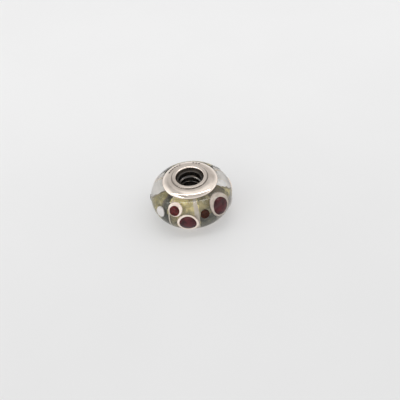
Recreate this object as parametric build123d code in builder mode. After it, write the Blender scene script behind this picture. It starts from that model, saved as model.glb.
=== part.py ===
from build123d import *
import os
from math import asin, cos, degrees, radians, sin, sqrt

# A glass charm bead on a silver core, standing on one silver end.
# All lengths are millimetres and all angles degrees. Z runs up the bore, and the bead rests on z = 0.
# Azimuth 0 is the front, -Y, and grows towards +X. Latitude is measured on the round of the glass,
# 0 at its widest circle and 90 at the top of its section's circle.

# Glass: its widest circle, and its flat ends before their edges are rounded
glass_diameter = 13.8
glass_end_diameter = 9.87
glass_height = 6.24
end_rounding = 0.18
clear_thickness = 0.95
clear_end_thickness = 0.62

# Silver caps
cap_diameter = 9.44
cap_rise = 0.79
cap_roll_radius = 1.51
cap_sheet = 0.35
cap_rim_rounding = 0.05

# Silver core tube with its rolled lips
tube_bore_diameter = 4.68
tube_wall = 0.36
lip_diameter = 6.08
lip_height = 0.2
lip_edge_height = 0.05
lip_rim_drop = 0.22
lip_land_width = 0.2

# Threaded inner sleeve
sleeve_recess = 0.63
sleeve_edge = 0.15
land_diameter = 3.4
land_length = 4.8
land_ledge = 0.2
thread_pitch = 1.0
thread_depth = 0.16
thread_width = 0.3
thread_root_width = 0.1
thread_start = 140

# Raised dots and their seats in the clear glass
eye_base_diameter = 3.8
eye_centre_diameter = 3.0
red_base_diameter = 2.48
red_centre_diameter = 1.82
dark_dot_diameter = 1.56
white_dot_diameter = 1.86
base_raise = 0.2
centre_raise = 0.3
seat_depth = 0.45
recess_depth = 0.2
small_seat_depth = 0.16
small_recess_depth = 0.08
base_rounding = 0.18
centre_rounding = 0.2
rounding_limit = 0.6  # the most of a dot's thickness that its rounded rim may take
dot_latitude_limit = 80  # how far up the round of the glass the dots can reach

# Pale stripes let into the coloured glass, up to a little short of its ends
stripe_depth = 0.25
stripe_end_margin = 0.09

# Plain round punch dots on the top cap, in groups round the roll
punch_diameter = 0.34
punch_depth = 0.08
punch_slope = 12
punch_step = 8
punch_group = 3
punch_azimuths = (-149, -125, 158)

# Gap between neighbouring pieces
clearance = 0.02

# Large ringed dots: azimuth, latitude and share of the named diameter, of the white base and then of
# the maroon centre
EYES = (
    (-9.3, -5.7, 0.935, -9.1, -1.6, 0.955),
    (44.1, 23.4, 1.06, 43.0, 20.0, 1.035),
    (108.0, -18.5, 1.0, 108.0, -16.5, 0.98),
    (156.0, -5.0, 1.01, 156.5, -7.0, 1.0),
    (-128.0, -8.5, 1.0, -128.4, -6.5, 1.0),
)

# Small ringed dots, with the same columns
REDS = (
    (-28.4, 35.7, 1.0, -28.5, 32.0, 1.0),
    (-173.0, -6.0, 1.0, -174.0, -8.6, 1.0),
)

# Plain dots: azimuth, latitude and share of the named diameter
DARKS = ((16.4, 18.8, 1.0), (133.0, 13.0, 1.0), (-99.0, -12.0, 0.97))
WHITES = ((-52.7, 10.6, 1.0), (78.0, -28.0, 0.98), (-152.0, 17.0, 0.96))

# Pale stripes: azimuth of the middle and angular width
STRIPES = ((5.8, 6.8), (-40.0, 2.2), (120.0, 6.0), (-160.0, 2.4), (-114.0, 6.0))

# Sizes that follow from the ones above. The round of the glass is one arc in section: it passes
# through the widest circle and the edge of each end.
glass_radius = glass_diameter / 2
glass_end_radius = glass_end_diameter / 2
end_level = glass_height / 2
end_taper = glass_radius - glass_end_radius
belly_centre = (glass_radius**2 - glass_end_radius**2 - end_level**2) / (2 * end_taper)
belly_radius = glass_radius - belly_centre
cap_foot_level = end_level + clearance
cap_top_level = cap_foot_level + cap_rise
cap_roll_level = cap_top_level - cap_roll_radius
cap_flat_radius = cap_diameter / 2 - sqrt(cap_roll_radius**2 - (cap_foot_level - cap_roll_level) ** 2)
lip_foot_level = cap_top_level + clearance
lip_top_level = lip_foot_level + lip_height
mid_height = lip_top_level
tube_bore_radius = tube_bore_diameter / 2
tube_outer_radius = tube_bore_radius + tube_wall
lip_radius = lip_diameter / 2
seat_bore_radius = tube_outer_radius + clearance
core_section_radius = belly_radius - clear_thickness
core_end_level = end_level - clear_end_thickness
dot_reach = belly_radius / 2
sleeve_radius = tube_bore_radius - clearance
sleeve_end_level = lip_top_level - sleeve_recess
land_radius = land_diameter / 2
sleeve_bore_radius = land_radius + land_ledge
mid_plane = Plane.XY.offset(mid_height)
parts_folder = "parts"


def outward(azimuth):
    """Level direction away from the bead's axis."""
    return Vector(sin(radians(azimuth)), -cos(radians(azimuth)), 0)


def section_at(azimuth):
    """Plane through the axis at mid-height, with x running outwards and y up."""
    direction = outward(azimuth)
    return Plane(origin=(0, 0, mid_height), x_dir=direction, z_dir=direction.cross(Vector(0, 0, 1)))


section = section_at(90)


def spot_plane(azimuth, latitude):
    """Plane that touches the round of the glass at a dot's middle, with z pointing out of the glass."""
    direction = outward(azimuth)
    normal = direction * cos(radians(latitude)) + Vector(0, 0, sin(radians(latitude)))
    middle = Vector(0, 0, mid_height) + direction * belly_centre + normal * belly_radius
    return Plane(origin=middle, x_dir=Vector(0, 0, 1).cross(direction), z_dir=normal)


def belly_body(growth, azimuth):
    """Solid inside the round of the glass grown by a given amount, with its seam behind the azimuth."""
    radius = belly_radius + growth
    end_x = belly_centre + radius * cos(radians(dot_latitude_limit))
    end_y = radius * sin(radians(dot_latitude_limit))
    with BuildPart() as body:
        with BuildSketch(section_at(azimuth + 180)):
            with BuildLine():
                CenterArc((belly_centre, 0), radius, -dot_latitude_limit, 2 * dot_latitude_limit)
                Polyline((end_x, end_y), (0, end_y), (0, -end_y), (end_x, -end_y))
            make_face()
        revolve(axis=Axis.Z)
    return body.part


def dot_pocket(azimuth, latitude, radius, depth):
    """Round pocket square to the glass, a clearance wider and deeper than what sits in it."""
    floor = belly_body(-depth - clearance, azimuth)
    with BuildPart() as pocket:
        with BuildSketch(spot_plane(azimuth, latitude)):
            Circle(radius + clearance)
        extrude(amount=dot_reach, both=True)
        add(floor, mode=Mode.SUBTRACT)
    return pocket.part


def raised_dot(azimuth, latitude, radius, height, depth, rounding, recess=None):
    """Round dot that follows the glass, with a rounded rim and, if asked, a recess for a second dot."""
    plane = spot_plane(azimuth, latitude)
    top = belly_body(height, azimuth)
    floor = belly_body(-depth, azimuth)
    with BuildPart() as dot:
        with BuildSketch(plane):
            Circle(radius)
        extrude(amount=dot_reach, both=True)
        add(top, mode=Mode.INTERSECT)
        add(floor, mode=Mode.SUBTRACT)
        outer_face = dot.faces().sort_by(Axis(plane.origin, plane.z_dir))[-1]
        fillet(outer_face.edges(), radius=min(rounding, rounding_limit * (height + depth)))
        if recess is not None:
            add(recess, mode=Mode.SUBTRACT)
    return dot.part


def ringed_dot(base_spot, centre_spot, base_depth, centre_depth):
    """Pale base with a recess, and the coloured centre that sits in it."""
    recess = dot_pocket(*centre_spot, centre_depth)
    base = raised_dot(*base_spot, base_raise, base_depth, base_rounding, recess)
    centre = raised_dot(*centre_spot, centre_raise, centre_depth, centre_rounding)
    return base, centre


def stripe_body(azimuth, width, gap):
    """Band from end to end of the coloured glass, grown by a gap all round."""
    outer = core_section_radius + gap
    inner = core_section_radius - stripe_depth - gap
    end_angle = asin((core_end_level - stripe_end_margin) / core_section_radius)
    latitude = degrees(end_angle + gap / core_section_radius)
    turn = width + 2 * degrees(gap / (belly_centre + core_section_radius))
    with BuildPart() as stripe:
        with BuildSketch(section_at(azimuth - turn / 2)):
            with BuildLine():
                far = CenterArc((belly_centre, 0), outer, -latitude, 2 * latitude)
                near = CenterArc((belly_centre, 0), inner, -latitude, 2 * latitude)
                Line(far @ 0, near @ 0)
                Line(far @ 1, near @ 1)
            make_face()
        revolve(axis=Axis.Z, revolution_arc=turn)
    return stripe.part


def domed_cap():
    """Silver washer with a flat middle and a rolled edge that stands on the end of the glass."""
    roll_centre = (cap_flat_radius, cap_roll_level)
    inner_roll_radius = cap_roll_radius - cap_sheet
    foot_rise = cap_foot_level - cap_roll_level
    outer_foot = degrees(asin(foot_rise / cap_roll_radius))
    inner_foot = degrees(asin(foot_rise / inner_roll_radius))
    with BuildPart() as cap:
        with BuildSketch(section):
            with BuildLine():
                outside = CenterArc(roll_centre, cap_roll_radius, outer_foot, 90 - outer_foot)
                inside = CenterArc(roll_centre, inner_roll_radius, inner_foot, 90 - inner_foot)
                Polyline(
                    outside @ 1,
                    (seat_bore_radius, cap_top_level),
                    (seat_bore_radius, cap_top_level - cap_sheet),
                    inside @ 1,
                )
                Line(inside @ 0, outside @ 0)
            make_face()
        revolve(axis=Axis.Z)
        rim = cap.edges().filter_by(GeomType.CIRCLE).group_by(Axis.Z)[0].sort_by(SortBy.RADIUS)[-1]
        fillet(rim, radius=cap_rim_rounding)
    return cap.part


def punch_place(azimuth, away):
    """Point at a distance off the roll of the top cap, square to it."""
    slope = radians(punch_slope)
    reach = cap_roll_radius + away
    across = cap_flat_radius + reach * sin(slope)
    height = mid_height + cap_roll_level + reach * cos(slope)
    return outward(azimuth) * across + Vector(0, 0, height)


def thread_cutter():
    """Helical ridge that cuts the thread. It runs out past both ends of the land and into the bore."""
    run = land_length + 2 * (land_ledge + thread_width)
    root = thread_root_width / 2
    foot = thread_width - root
    with BuildPart() as cutter:
        with BuildLine() as path:
            Helix(thread_pitch, run, land_radius, center=(0, 0, mid_height - run / 2))
        with BuildSketch(Plane(path.line @ 0, x_dir=(1, 0, 0), z_dir=path.line % 0)) as ridge:
            with BuildLine():
                Polyline(
                    (-thread_depth, -foot),
                    (thread_depth, -root),
                    (thread_depth, root),
                    (-thread_depth, foot),
                    close=True,
                )
            make_face()
        sweep(ridge.sketch, path=path.line, is_frenet=True)
    return cutter.part.rotate(Axis.Z, thread_start)


# Core tube: one half of its section is turned and mirrored in the bead's middle plane
with BuildPart() as core_tube:
    with BuildSketch(section):
        with BuildLine():
            land_middle = (lip_radius + tube_bore_radius) / 2
            Polyline(
                (tube_bore_radius, 0),
                (tube_outer_radius, 0),
                (tube_outer_radius, lip_foot_level),
                (lip_radius, lip_foot_level),
                (lip_radius, lip_foot_level + lip_edge_height),
            )
            land = Line(
                (land_middle + lip_land_width / 2, lip_top_level),
                (land_middle - lip_land_width / 2, lip_top_level),
            )
            TangentArc(land @ 0, (lip_radius, lip_foot_level + lip_edge_height), tangent=(1, 0))
            fall = TangentArc(land @ 1, (tube_bore_radius, lip_top_level - lip_rim_drop), tangent=(-1, 0))
            Line(fall @ 1, (tube_bore_radius, 0))
        make_face()
    revolve(axis=Axis.Z)
    mirror(about=mid_plane)

# Threaded sleeve: a darkened liner whose middle land carries a thread cut into its wall
thread_groove = thread_cutter()
with BuildPart() as thread_sleeve:
    with BuildSketch(section) as sleeve_section:
        with BuildLine():
            Polyline(
                (land_radius, -land_length / 2),
                (sleeve_bore_radius, -land_length / 2 - land_ledge),
                (sleeve_bore_radius, -sleeve_end_level),
                (sleeve_radius, -sleeve_end_level),
                (sleeve_radius, sleeve_end_level),
                (sleeve_bore_radius, sleeve_end_level),
                (sleeve_bore_radius, land_length / 2 + land_ledge),
                (land_radius, land_length / 2),
                close=True,
            )
        make_face()
        levels = sleeve_section.vertices().group_by(Axis.Y)
        fillet(levels[0] + levels[-1], radius=sleeve_edge)
    revolve(axis=Axis.Z)
    add(thread_groove, mode=Mode.SUBTRACT)

# Caps: the same washer at both ends, the top one marked with plain punch dots
cap_body = domed_cap()
punch_radius = (punch_diameter**2 / 4 + punch_depth**2) / (2 * punch_depth)
with BuildPart() as end_cap_top:
    add(cap_body)
    punch_turns = [
        start + punch_step * (count - (punch_group - 1) / 2)
        for start in punch_azimuths
        for count in range(punch_group)
    ]
    with Locations([punch_place(turn, punch_radius - punch_depth) for turn in punch_turns]):
        Sphere(punch_radius, mode=Mode.SUBTRACT)
with BuildPart() as end_cap_bottom:
    mirror(cap_body, about=mid_plane)

# Coloured barrel with a groove for each pale stripe
stripe_grooves = [stripe_body(azimuth, width, clearance) for azimuth, width in STRIPES]
with BuildPart() as foil_core:
    with BuildSketch(section):
        with BuildLine():
            barrel_latitude = degrees(asin(core_end_level / core_section_radius))
            barrel = CenterArc((belly_centre, 0), core_section_radius, -barrel_latitude, 2 * barrel_latitude)
            Polyline(
                barrel @ 1,
                (seat_bore_radius, core_end_level),
                (seat_bore_radius, -core_end_level),
                barrel @ 0,
            )
        make_face()
    revolve(axis=Axis.Z)
    for groove in stripe_grooves:
        add(groove, mode=Mode.SUBTRACT)

# Dots, each with the pocket that the clear glass gets for it
pieces = {}
pockets = []
for name, table, base_diameter, centre_diameter, base_depth, centre_depth in (
    ("eye", EYES, eye_base_diameter, eye_centre_diameter, seat_depth, recess_depth),
    ("red", REDS, red_base_diameter, red_centre_diameter, small_seat_depth, small_recess_depth),
):
    for number, (turn, rise, share, inner_turn, inner_rise, inner_share) in enumerate(table, 1):
        base_spot = (turn, rise, share * base_diameter / 2)
        centre_spot = (inner_turn, inner_rise, inner_share * centre_diameter / 2)
        base, centre = ringed_dot(base_spot, centre_spot, base_depth, centre_depth)
        pieces[f"{name}_base_{number}"] = base
        pieces[f"{name}_centre_{number}"] = centre
        pockets.append(dot_pocket(*base_spot, base_depth))
for name, table, diameter in (
    ("dark_dot", DARKS, dark_dot_diameter),
    ("white_dot", WHITES, white_dot_diameter),
):
    for number, (turn, rise, share) in enumerate(table, 1):
        spot = (turn, rise, share * diameter / 2)
        pieces[f"{name}_{number}"] = raised_dot(*spot, base_raise, small_seat_depth, base_rounding)
        pockets.append(dot_pocket(*spot, small_seat_depth))

# Clear glass round the coloured barrel, open to the tube, with flat ends under the caps
with BuildPart() as clear_casing:
    with BuildSketch(section):
        with BuildLine():
            hollow_radius = core_section_radius + clearance
            hollow_level = core_end_level + clearance
            hollow_latitude = degrees(asin(hollow_level / hollow_radius))
            hollow = CenterArc((belly_centre, 0), hollow_radius, -hollow_latitude, 2 * hollow_latitude)
            end_latitude = degrees(asin(end_level / belly_radius))
            outside = CenterArc((belly_centre, 0), belly_radius, -end_latitude, 2 * end_latitude)
            Polyline(
                hollow @ 1,
                (seat_bore_radius, hollow_level),
                (seat_bore_radius, end_level),
                outside @ 1,
            )
            Polyline(
                hollow @ 0,
                (seat_bore_radius, -hollow_level),
                (seat_bore_radius, -end_level),
                outside @ 0,
            )
        make_face()
    revolve(axis=Axis.Z)
    end_edges = [
        clear_casing.edges().filter_by(GeomType.CIRCLE).group_by(Axis.Z)[end].sort_by(SortBy.RADIUS)[-1]
        for end in (0, -1)
    ]
    fillet(end_edges, radius=end_rounding)
    add(pockets, mode=Mode.SUBTRACT)

pieces["core_tube"] = core_tube.part
pieces["thread_sleeve"] = thread_sleeve.part
pieces["end_cap_top"] = end_cap_top.part
pieces["end_cap_bottom"] = end_cap_bottom.part
pieces["foil_core"] = foil_core.part
pieces["clear_casing"] = clear_casing.part
for number, (azimuth, width) in enumerate(STRIPES, 1):
    pieces[f"pale_stripe_{number}"] = stripe_body(azimuth, width, 0)

os.makedirs(parts_folder, exist_ok=True)
for name, body in pieces.items():
    body.label = name
    export_step(body, f"{parts_folder}/{name}.step")
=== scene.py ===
"""A glass charm bead on a silver core: its fine shapes, its finishes, and the light and camera.

The bead's axis is Z and its front faces -Y. Sizes are in millimetres, heights are measured from the
bead's middle plane, and azimuths in degrees from the front towards +X. Meshes are made in metres.
"""

import logging
import math
from dataclasses import dataclass
from enum import Enum
from typing import Any, Iterable, Optional, Sequence

import bmesh
import bpy
from mathutils import Matrix, Vector


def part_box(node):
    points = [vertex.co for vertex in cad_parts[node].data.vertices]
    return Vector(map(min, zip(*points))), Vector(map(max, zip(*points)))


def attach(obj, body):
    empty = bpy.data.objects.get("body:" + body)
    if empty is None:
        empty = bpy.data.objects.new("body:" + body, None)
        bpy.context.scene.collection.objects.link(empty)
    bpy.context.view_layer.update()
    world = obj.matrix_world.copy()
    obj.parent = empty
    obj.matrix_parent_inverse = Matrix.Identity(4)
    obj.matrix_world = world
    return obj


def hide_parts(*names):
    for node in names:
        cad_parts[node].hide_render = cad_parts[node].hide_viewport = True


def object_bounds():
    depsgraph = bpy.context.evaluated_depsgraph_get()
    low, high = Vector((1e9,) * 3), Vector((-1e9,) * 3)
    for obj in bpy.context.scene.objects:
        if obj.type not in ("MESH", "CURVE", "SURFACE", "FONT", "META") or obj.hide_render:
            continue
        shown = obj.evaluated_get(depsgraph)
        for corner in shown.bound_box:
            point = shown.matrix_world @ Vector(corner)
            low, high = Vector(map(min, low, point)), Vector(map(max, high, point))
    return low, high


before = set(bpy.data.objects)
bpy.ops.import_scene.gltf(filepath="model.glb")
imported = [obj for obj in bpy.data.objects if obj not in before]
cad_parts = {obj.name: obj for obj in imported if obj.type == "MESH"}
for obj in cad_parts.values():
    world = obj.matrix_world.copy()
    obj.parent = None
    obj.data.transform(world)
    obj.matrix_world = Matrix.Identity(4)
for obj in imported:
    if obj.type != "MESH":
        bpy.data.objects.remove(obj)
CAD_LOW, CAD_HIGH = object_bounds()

Socket = bpy.types.NodeSocket
Colour = tuple[float, float, float]
Span = tuple[float, float]
Stop = tuple[float, Sequence[float]]
Wave = tuple[float, float, float]

LOG = logging.getLogger("bead")
MM = 0.001
WELD = 0.0005 * MM
SHARP_ANGLE = math.radians(38)
ROUND_PARTS = 192
NOISE_SPREAD = (0.3, 0.7)


def half_extents(node: str) -> tuple[float, float]:
    """Measure a turned node of the frame.

    Args:
        node: Name of the node.

    Returns:
        Its largest radius and half its height, in millimetres.
    """
    low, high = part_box(node)
    return (high.x - low.x) / 2 / MM, (high.z - low.z) / 2 / MM


MIDDLE = (CAD_LOW.z + CAD_HIGH.z) / 2 / MM
GLASS_RADIUS, GLASS_END = half_extents("clear_casing")
BARREL_RADIUS, BARREL_END = half_extents("foil_core")
LIP_RADIUS, LIP_TOP = half_extents("core_tube")
SLEEVE_RADIUS, SLEEVE_END = half_extents("thread_sleeve")
CAP_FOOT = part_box("end_cap_top")[0].z / MM - MIDDLE
CAP_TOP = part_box("end_cap_top")[1].z / MM - MIDDLE

CLEARANCE = 0.02
GLASS_END_RADIUS = 4.935
GLASS_TAPER = GLASS_RADIUS - GLASS_END_RADIUS
BELLY_CENTRE = (GLASS_RADIUS**2 - GLASS_END_RADIUS**2 - GLASS_END**2) / (2 * GLASS_TAPER)
BELLY_RADIUS = GLASS_RADIUS - BELLY_CENTRE
TUBE_BORE = 2.34
TUBE_OUTSIDE = 2.70
SEAT_BORE = TUBE_OUTSIDE + CLEARANCE


def sweep(mesh: bmesh.types.BMesh, angle: float, steps: int, **settings: Any) -> None:
    """Sweep all that is drawn about Z, so that edges leave faces behind, and weld what meets.

    Args:
        mesh: The mesh.
        angle: How far it goes, in radians.
        steps: How many faces the way gets.
        **settings: Further settings of the spin.
    """
    bmesh.ops.spin(
        mesh, geom=mesh.verts[:] + mesh.edges[:], cent=(0, 0, 0), axis=(0, 0, 1), angle=angle,
        steps=steps, **settings,
    )
    bmesh.ops.remove_doubles(mesh, verts=mesh.verts, dist=WELD)


class Section:
    """A line drawn in the XZ plane, point by point, and then turned about Z into a surface.

    x is the distance from the axis and z the height, both in millimetres.
    """

    def __init__(self, x: float, z: float) -> None:
        """Start the line at a point."""
        self.mesh = bmesh.new()
        self.tip = self.mesh.verts.new((x * MM, 0, z * MM))

    def line(self, x: float, z: float, parts: int = 1) -> "Section":
        """Draw a straight line on to a point.

        Args:
            x: Distance of the point from the axis.
            z: Height of the point.
            parts: How many edges the line gets.

        Returns:
            The same section, so that calls can be chained.
        """
        step = (Vector((x * MM, 0, z * MM)) - self.tip.co) / parts
        for _ in range(parts):
            made = bmesh.ops.extrude_vert_indiv(self.mesh, verts=[self.tip])
            self.tip = made["verts"][0]
            bmesh.ops.translate(self.mesh, verts=[self.tip], vec=step)
        return self

    def arc(self, x: float, z: float, angle: float, parts: int) -> "Section":
        """Carry the line round a centre.

        Args:
            x: Distance of the centre from the axis.
            z: Height of the centre.
            angle: Degrees to go, positive from the outside towards the top.
            parts: How many edges the arc gets.

        Returns:
            The same section.
        """
        made = bmesh.ops.spin(
            self.mesh, geom=[self.tip], cent=(x * MM, 0, z * MM), axis=(0, -1, 0),
            angle=math.radians(angle), steps=parts,
        )
        self.tip = made["geom_last"][0]
        return self

    def crown(self, x: float, z: float, parts: int) -> "Section":
        """Draw an arc that starts level and falls to a point, or rises to it and ends level.

        Args:
            x: Distance of the point from the axis.
            z: Height of the point. Below the line's end the arc starts level, above it ends level.
            parts: How many edges the arc gets.

        Returns:
            The same section.
        """
        start_x, start_z = self.tip.co.x / MM, self.tip.co.z / MM
        across, rise = x - start_x, z - start_z
        radius = (across**2 + rise**2) / (2 * abs(rise))
        sweep = 2 * math.degrees(math.atan2(abs(rise), abs(across)))
        turn = -sweep if across > 0 else sweep
        if rise < 0:
            return self.arc(start_x, start_z - radius, turn, parts)
        return self.arc(x, z - radius, turn, parts)

    def turned(self, parts: int = ROUND_PARTS) -> bmesh.types.BMesh:
        """Turn the line all the way about the axis.

        Args:
            parts: How many faces go round.

        Returns:
            The turned surface, with the rings on the axis merged.
        """
        sweep(self.mesh, math.tau, parts, use_merge=True)
        return self.mesh

    def mirrored(self, parts: int = ROUND_PARTS) -> bmesh.types.BMesh:
        """Turn the line, and mirror the surface in the middle plane that it starts and ends in.

        Args:
            parts: How many faces go round.

        Returns:
            The closed surface.
        """
        mesh = self.turned(parts)
        bmesh.ops.mirror(
            mesh, geom=mesh.verts[:] + mesh.edges[:] + mesh.faces[:], matrix=Matrix.Identity(4),
            merge_dist=WELD, axis="Z",
        )
        return mesh


def linked(name: str, data: bpy.types.ID) -> bpy.types.Object:
    """Make an object of a mesh, a lamp or a camera, and link it to the scene."""
    made = bpy.data.objects.new(name, data)
    bpy.context.scene.collection.objects.link(made)
    return made


def finished(mesh: bmesh.types.BMesh, name: str, look: bpy.types.Material) -> bpy.types.Object:
    """Turn a mesh that was built about the middle plane into an object in the shared frame.

    Args:
        mesh: The closed mesh, which is used up.
        name: Name of the object.
        look: Its material.

    Returns:
        The object, which sits at the origin with its place in its mesh.
    """
    bmesh.ops.remove_doubles(mesh, verts=mesh.verts, dist=WELD)
    bmesh.ops.recalc_face_normals(mesh, faces=mesh.faces)
    bmesh.ops.translate(mesh, verts=mesh.verts, vec=(0, 0, MIDDLE * MM))
    data = bpy.data.meshes.new(name)
    mesh.to_mesh(data)
    mesh.free()
    data.shade_smooth()
    data.set_sharp_from_angle(angle=SHARP_ANGLE)
    data.materials.append(look)
    return linked(name, data)


def seated(piece: bpy.types.Object, slot: str, nodes: Iterable[str]) -> bpy.types.Object:
    """Hand a finished piece to the frame and report it.

    Args:
        piece: The object.
        slot: The record's material slot of its finish, which is only reported.
        nodes: The nodes that it stands for.

    Returns:
        The same object.
    """
    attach(piece, "root")
    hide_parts(*nodes)
    LOG.info("%s: %d faces, %s", piece.name, len(piece.data.polygons), slot)
    return piece


class Nodes:
    """The nodes of one tree, with short calls that add a node and link its inputs."""

    def __init__(self, tree: bpy.types.NodeTree) -> None:
        """Start with an empty tree."""
        self.tree = tree
        self.tree.nodes.clear()

    def add(self, kind: str, inputs: Optional[dict[Any, Any]] = None, **settings: Any) -> bpy.types.Node:
        """Add a node.

        Args:
            kind: Its type's name.
            inputs: Its inputs by name or number: a socket is linked, and anything else is set.
            **settings: The node's own settings.

        Returns:
            The node.
        """
        node = self.tree.nodes.new(kind)
        for key, value in settings.items():
            setattr(node, key, value)
        for key, value in (inputs or {}).items():
            if isinstance(value, Socket):
                self.tree.links.new(value, node.inputs[key])
            else:
                node.inputs[key].default_value = value
        return node

    def sum(self, operation: str, first: Any, second: Any = 0.0, third: Any = 0.0) -> Socket:
        """Work out one number from up to three, by a Math node's operation."""
        return self.add("ShaderNodeMath", {0: first, 1: second, 2: third}, operation=operation).outputs[0]

    def both(self, first: Any, second: Any) -> Socket:
        """Multiply two numbers, such as two shares that have to hold at once."""
        return self.sum("MULTIPLY", first, second)

    def between(self, value: Any, low: float, high: float, start: float = 0.0, end: float = 1.0) -> Socket:
        """Carry a number smoothly from start to end as it goes from low to high."""
        inputs = {0: value, 1: low, 2: high, 3: start, 4: end}
        return self.add("ShaderNodeMapRange", inputs, interpolation_type="SMOOTHSTEP").outputs[0]

    def fading(self, value: Any, low: float, high: float) -> Socket:
        """Give 1 where a number is below low, falling smoothly to 0 at high."""
        return self.between(value, low, high, 1.0, 0.0)

    def near(self, value: Any, middle: float, inner: float, outer: float) -> Socket:
        """Give 1 where a number is within inner of the middle, falling to 0 at outer."""
        away = self.sum("ABSOLUTE", self.sum("SUBTRACT", value, middle))
        return self.fading(away, inner, outer)

    def mix(self, share: Any, first: Any, second: Any) -> Socket:
        """Mix two numbers, by a share of the second."""
        return self.add("ShaderNodeMix", {0: share, 2: first, 3: second}, data_type="FLOAT").outputs[0]

    def blend(self, share: Any, first: Any, second: Any) -> Socket:
        """Blend two colours, by a share of the second."""
        node = self.add("ShaderNodeMix", {0: share, 6: opaque(first), 7: opaque(second)}, data_type="RGBA")
        return node.outputs[2]

    def scaled(self, colour: Any, factor: Any) -> Socket:
        """Make a colour brighter or darker by a factor."""
        return self.add("ShaderNodeVectorMath", {0: colour, "Scale": factor}, operation="SCALE").outputs[0]

    def ramp(self, value: Any, stops: Sequence[Stop], kind: str = "CONSTANT") -> bpy.types.Node:
        """Choose colours along a number.

        Args:
            value: The number, from 0 to 1.
            stops: Pairs of a place along it and a colour with four parts.
            kind: How the ramp goes from stop to stop.

        Returns:
            The node, with a colour and an alpha output.
        """
        node = self.add("ShaderNodeValToRGB", {0: value})
        node.color_ramp.interpolation = kind
        elements = node.color_ramp.elements
        for index, (place, colour) in enumerate(stops):
            element = elements[index] if index < 2 else elements.new(place)
            element.position = place
            element.color = colour
        return node


@dataclass(frozen=True)
class Grain:
    """Soft random pattern: its features for each millimetre, how many finer layers it has, and from
    where to where in it something comes up. Without these two the pattern is taken as it is.
    """

    scale: float
    detail: float
    seen: Optional[Span] = None


@dataclass(frozen=True)
class Marks:
    """Fine long marks that all run one way: how their pattern is turned, in radians, and stretched."""

    turn: tuple[float, float, float]
    stretch: tuple[float, float, float]
    grain: Grain


class Graph(Nodes):
    """The nodes of one material, with its patterns placed in millimetres from the bead's middle."""

    def __init__(self, name: str) -> None:
        """Start a material.

        Args:
            name: Its name.
        """
        self.material = bpy.data.materials.new(name)
        self.material.use_nodes = True
        super().__init__(self.material.node_tree)
        own = self.add("ShaderNodeTexCoord").outputs["Object"]
        self.place = self.add(
            "ShaderNodeMapping", {"Vector": own, "Location": (0, 0, -MIDDLE), "Scale": (1 / MM,) * 3}
        ).outputs[0]
        self.x, self.y, self.z = self.add("ShaderNodeSeparateXYZ", {0: self.place}).outputs

    def radius(self) -> Socket:
        """Distance from the axis, in millimetres."""
        squares = [self.sum("POWER", side, 2.0) for side in (self.x, self.y)]
        return self.sum("SQRT", self.sum("ADD", *squares))

    def level(self) -> Socket:
        """Distance from the middle plane, in millimetres."""
        return self.sum("ABSOLUTE", self.z)

    def azimuth(self) -> Socket:
        """Angle round from the front, in radians."""
        return self.sum("ARCTAN2", self.x, self.sum("MULTIPLY", self.y, -1.0))

    def grain(self, grain: Grain, levels: Span = (0.0, 1.0), place: Optional[Socket] = None) -> Socket:
        """Lay a soft random pattern.

        Args:
            grain: The pattern.
            levels: The numbers that it gives outside and inside of what comes up in it.
            place: Where it is read, the bead's own place unless given.

        Returns:
            A number between the two levels, or from 0 to 1 where the pattern is taken as it is.
        """
        sockets = {"Vector": place or self.place, "Scale": grain.scale, "Detail": grain.detail}
        pattern = self.add("ShaderNodeTexNoise", sockets).outputs[0]
        return self.between(pattern, *grain.seen, *levels) if grain.seen else pattern

    def streaks(self, marks: Marks) -> Socket:
        """Lay fine long marks, as a number from 0 to 1."""
        inputs = {"Vector": self.place, "Rotation": marks.turn, "Scale": marks.stretch}
        return self.grain(marks.grain, place=self.add("ShaderNodeMapping", inputs).outputs[0])

    def bump(self, height: Any, depth: float, under: Optional[Socket] = None) -> Socket:
        """Raise the surface by a pattern.

        Args:
            height: The pattern, from 0 to 1.
            depth: How high it stands, in millimetres.
            under: The normal of a bump below this one.

        Returns:
            The normal.
        """
        sockets = {"Height": height, "Distance": depth * MM, "Strength": 1.0}
        if under is not None:
            sockets["Normal"] = under
        return self.add("ShaderNodeBump", sockets).outputs[0]

    def shade(self, inputs: dict[str, Any]) -> bpy.types.Material:
        """Finish the material with one Principled shader.

        Args:
            inputs: The shader's inputs.

        Returns:
            The material.
        """
        shader = self.add("ShaderNodeBsdfPrincipled", inputs)
        self.add("ShaderNodeOutputMaterial", {"Surface": shader.outputs[0]})
        return self.material


def opaque(colour: Any) -> Any:
    """Give a colour of three parts its fourth, and leave a socket as it is."""
    return colour if isinstance(colour, Socket) or len(colour) == 4 else (*colour, 1.0)


def beyond(level: float, steps: Span) -> Span:
    """Give two levels by their steps from a third."""
    return level + steps[0], level + steps[1]


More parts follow.
